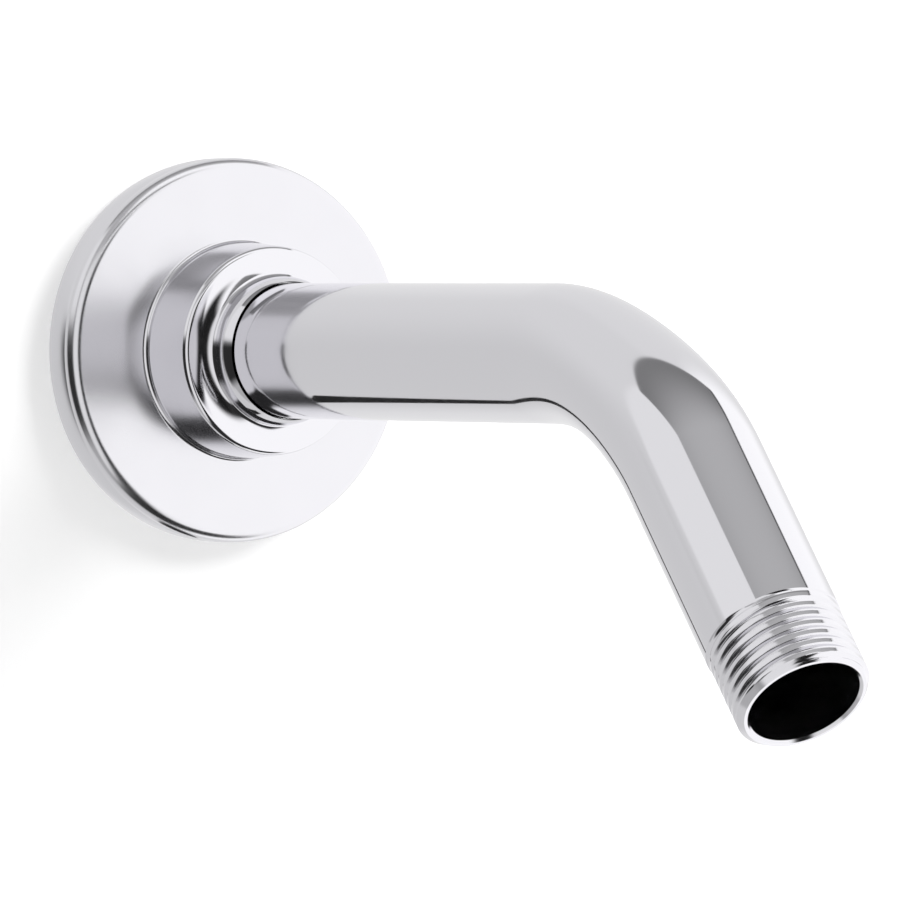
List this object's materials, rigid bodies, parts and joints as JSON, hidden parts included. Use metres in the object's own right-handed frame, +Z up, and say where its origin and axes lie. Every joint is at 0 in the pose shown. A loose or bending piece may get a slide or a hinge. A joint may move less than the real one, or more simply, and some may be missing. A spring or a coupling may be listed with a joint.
{
  "type": "shower arm",
  "caption": "Bent chrome shower arm: threaded tube that leaves the wall level and turns down to a threaded outlet, with a round stepped wall flange that slides on it.",
  "frame": {"origin": "on the tube's axis at the wall's surface, where the threaded inlet enters the wall", "axes": "+Y along the inlet into the wall, +Z up, so the arm reaches out along -Y and its outlet leg drops towards -Y and -Z"},
  "size_m": [0.0608, 0.1999, 0.0876],
  "materials": {
    "chrome_tube": "polished",
    "chrome_flange": "polished",
    "black_rubber": "matte"
  },
  "bodies": {
    "arm": {"arm_tube": "chrome_tube"},
    "ring": {"grip_ring": "black_rubber"},
    "flange": {"wall_flange": "chrome_flange"}
  },
  "joints": [
    {"name": "flange_slide", "type": "slide", "parent": "arm", "child": "ring", "axis": [0, -1, 0], "range_m": [0, 0.075]},
    {"name": "flange_turn", "type": "hinge", "parent": "ring", "child": "flange", "pos_m": [0, 0, 0], "axis": [0, -1, 0], "continuous": true}
  ]
}
